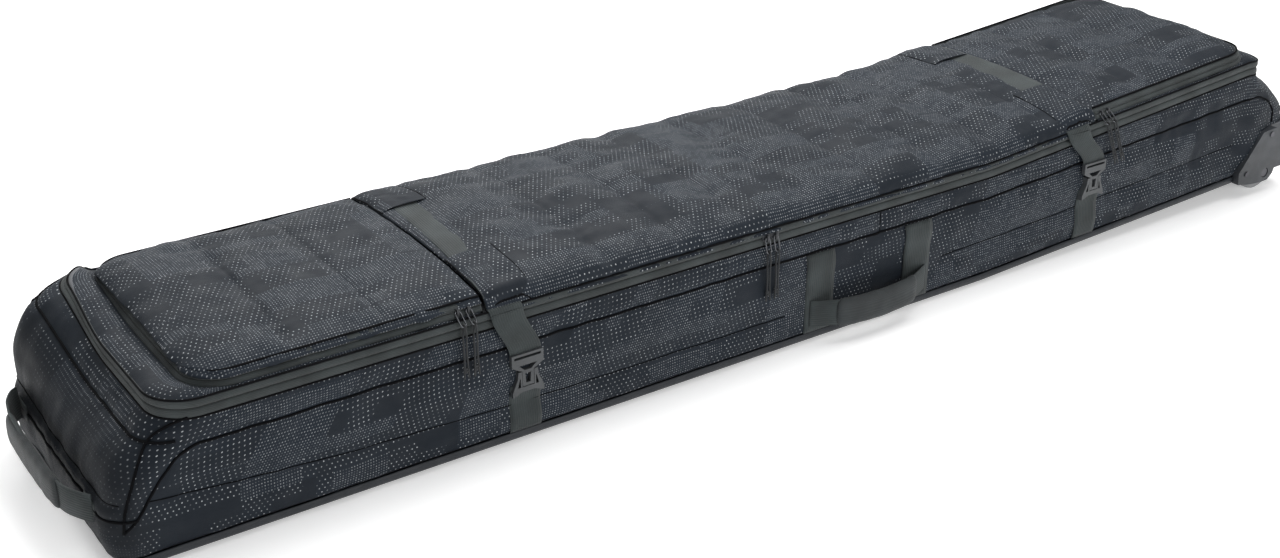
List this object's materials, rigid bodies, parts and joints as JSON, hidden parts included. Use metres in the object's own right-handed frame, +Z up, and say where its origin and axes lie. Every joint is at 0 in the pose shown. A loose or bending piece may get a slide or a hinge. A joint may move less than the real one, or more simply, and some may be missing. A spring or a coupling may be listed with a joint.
{
  "type": "snowboard bag",
  "caption": "Long padded roller bag for snowboards: coated base, zipped lid with two zipped pockets, closing straps with side-release buckles, nose and side grips, corner wheels.",
  "frame": {"origin": "middle of the base, on the floor", "axes": "+X from the nose grip to the wheels, +Y from the zip and buckle side to the side where the lid is sewn on, +Z up"},
  "size_m": [1.985, 0.4121, 0.2475],
  "materials": {
    "printed_fabric": "woven polyester with a sparse light dot print",
    "coated_fabric": "coated, faint weave",
    "lining": "smooth lining cloth",
    "board": "rough sheet",
    "piping": "smooth bound edge",
    "zip_tape": "knitted tape, ribbed along its length",
    "webbing": "ribbed webbing",
    "buckle_plastic": "fine-grained",
    "housing_plastic": "fine-grained",
    "fastener_steel": "dark zinc",
    "tyre": "satin",
    "hub": "satin",
    "slider_metal": "black, slightly worn",
    "pull_wire": "dark nickel",
    "cord": "braided"
  },
  "bodies": {
    "shell": {"base_tray": "coated_fabric", "base_board": "board", "side_panel_near": "printed_fabric", "side_panel_far": "printed_fabric", "side_gusset_near": "printed_fabric", "side_gusset_far": "printed_fabric", "piping": "piping", "nose_end_panel": "printed_fabric", "nose_shoulder_panel": "printed_fabric", "wheel_end_panel": "printed_fabric", "wheel_shoulder_panel": "printed_fabric", "main_zip_lower_tape": "zip_tape", "side_webbing": "webbing", "nose_grip_webbing": "webbing", "front_buckle_base": "buckle_plastic", "rear_buckle_base": "buckle_plastic", "wheel_housing_near": "housing_plastic", "wheel_housing_far": "housing_plastic", "axle_bolts": "fastener_steel", "housing_screws": "fastener_steel", "tie_straps": "webbing"},
    "lid": {"main_zip_upper_tape": "zip_tape", "lid_liner": "lining", "lid_quilt": "printed_fabric", "nose_pocket_wall": "printed_fabric", "wheel_pocket_wall": "printed_fabric", "lid_straps": "webbing", "strap_sleeves": "printed_fabric", "front_strap_drop": "webbing", "rear_strap_drop": "webbing"},
    "nose_flap": {"nose_pocket_flap": "printed_fabric"},
    "wheel_flap": {"wheel_pocket_flap": "printed_fabric"},
    "front_clip": {"front_buckle_clip": "buckle_plastic"},
    "rear_clip": {"rear_buckle_clip": "buckle_plastic"},
    "wheel_near": {"tyre_near": "tyre", "wheel_hub_near": "hub", "wheel_bearings_near": "fastener_steel"},
    "wheel_far": {"tyre_far": "tyre", "wheel_hub_far": "hub", "wheel_bearings_far": "fastener_steel"},
    "side_grip": {"side_grip": "webbing"},
    "nose_grip": {"nose_grip": "webbing"},
    "main_slider_left": {"main_slider_left": "slider_metal"},
    "main_slider_left_pull": {"main_slider_left_pull_wire": "pull_wire", "main_slider_left_pull_cord": "cord"},
    "main_slider_right": {"main_slider_right": "slider_metal"},
    "main_slider_right_pull": {"main_slider_right_pull_wire": "pull_wire", "main_slider_right_pull_cord": "cord"},
    "nose_slider_left": {"nose_slider_left": "slider_metal"},
    "nose_slider_left_pull": {"nose_slider_left_pull_wire": "pull_wire", "nose_slider_left_pull_cord": "cord"},
    "nose_slider_right": {"nose_slider_right": "slider_metal"},
    "nose_slider_right_pull": {"nose_slider_right_pull_wire": "pull_wire", "nose_slider_right_pull_cord": "cord"},
    "wheel_slider_left": {"wheel_slider_left": "slider_metal"},
    "wheel_slider_left_pull": {"wheel_slider_left_pull_wire": "pull_wire", "wheel_slider_left_pull_cord": "cord"},
    "wheel_slider_right": {"wheel_slider_right": "slider_metal"},
    "wheel_slider_right_pull": {"wheel_slider_right_pull_wire": "pull_wire", "wheel_slider_right_pull_cord": "cord"}
  },
  "joints": [
    {"name": "lid_open", "type": "hinge", "parent": "shell", "child": "lid", "pos_m": [0, 0.1845, 0.18], "axis": [-1, 0, 0], "range_deg": [0, 150]},
    {"name": "nose_flap_open", "type": "hinge", "parent": "lid", "child": "nose_flap", "pos_m": [-0.5105, 0, 0.206], "axis": [0, 1, 0], "range_deg": [0, 120]},
    {"name": "wheel_flap_open", "type": "hinge", "parent": "lid", "child": "wheel_flap", "pos_m": [0.51042, 0, 0.22141], "axis": [0, -1, 0], "range_deg": [0, 110]},
    {"name": "front_buckle_release", "type": "slide", "parent": "lid", "child": "front_clip", "axis": [0, 0, 1], "range_m": [0, 0.03], "deforming": ["front_strap_drop"]},
    {"name": "rear_buckle_release", "type": "slide", "parent": "lid", "child": "rear_clip", "axis": [0, 0, 1], "range_m": [0, 0.03], "deforming": ["rear_strap_drop"]},
    {"name": "wheel_near_spin", "type": "hinge", "parent": "shell", "child": "wheel_near", "pos_m": [0.917, -0.169, 0.033], "axis": [0, 1, 0], "continuous": true},
    {"name": "wheel_far_spin", "type": "hinge", "parent": "shell", "child": "wheel_far", "pos_m": [0.917, 0.169, 0.033], "axis": [0, 1, 0], "continuous": true},
    {"name": "side_grip_lift", "type": "hinge", "parent": "shell", "child": "side_grip", "pos_m": [0.0835, -0.1858, 0.066], "axis": [-1, 0, 0], "range_deg": [0, 90]},
    {"name": "nose_grip_lift", "type": "hinge", "parent": "shell", "child": "nose_grip", "pos_m": [-0.9773, -0.0025, 0.088], "axis": [0, 1, 0], "range_deg": [0, 90]},
    {"name": "main_slider_left_travel", "type": "slide", "parent": "shell", "child": "main_slider_left", "axis": [-1, 0, 0], "range_m": [0, 0.33]},
    {"name": "main_slider_left_pull_swing", "type": "hinge", "parent": "main_slider_left", "child": "main_slider_left_pull", "pos_m": [-0.097, -0.18725, 0.178], "axis": [-1, 0, 0], "range_deg": [0, 100]},
    {"name": "main_slider_right_travel", "type": "slide", "parent": "shell", "child": "main_slider_right", "axis": [1, 0, 0], "range_m": [0, 0.37]},
    {"name": "main_slider_right_pull_swing", "type": "hinge", "parent": "main_slider_right", "child": "main_slider_right_pull", "pos_m": [-0.083, -0.18725, 0.178], "axis": [-1, 0, 0], "range_deg": [0, 100]},
    {"name": "nose_slider_left_travel", "type": "slide", "parent": "lid", "child": "nose_slider_left", "axis": [-1, 0, 0], "range_m": [0, 0.3]},
    {"name": "nose_slider_left_pull_swing", "type": "hinge", "parent": "nose_slider_left", "child": "nose_slider_left_pull", "pos_m": [-0.545, -0.17775, 0.197], "axis": [-1, 0, 0], "range_deg": [0, 100]},
    {"name": "nose_slider_right_travel", "type": "slide", "parent": "lid", "child": "nose_slider_right", "axis": [1, 0, 0], "range_m": [0, 0.012]},
    {"name": "nose_slider_right_pull_swing", "type": "hinge", "parent": "nose_slider_right", "child": "nose_slider_right_pull", "pos_m": [-0.531, -0.17775, 0.197], "axis": [-1, 0, 0], "range_deg": [0, 100]},
    {"name": "wheel_slider_left_travel", "type": "slide", "parent": "lid", "child": "wheel_slider_left", "axis": [-0.9972, 0, -0.0748], "range_m": [0, 0.006]},
    {"name": "wheel_slider_left_pull_swing", "type": "hinge", "parent": "wheel_slider_left", "child": "wheel_slider_left_pull", "pos_m": [0.52605, -0.17775, 0.21355], "axis": [-0.9972, 0, -0.0748], "range_deg": [0, 100]},
    {"name": "wheel_slider_right_travel", "type": "slide", "parent": "lid", "child": "wheel_slider_right", "axis": [0.9972, 0, 0.0748], "range_m": [0, 0.3]},
    {"name": "wheel_slider_right_pull_swing", "type": "hinge", "parent": "wheel_slider_right", "child": "wheel_slider_right_pull", "pos_m": [0.54002, -0.17775, 0.2146], "axis": [-0.9972, 0, -0.0748], "range_deg": [0, 100]}
  ]
}
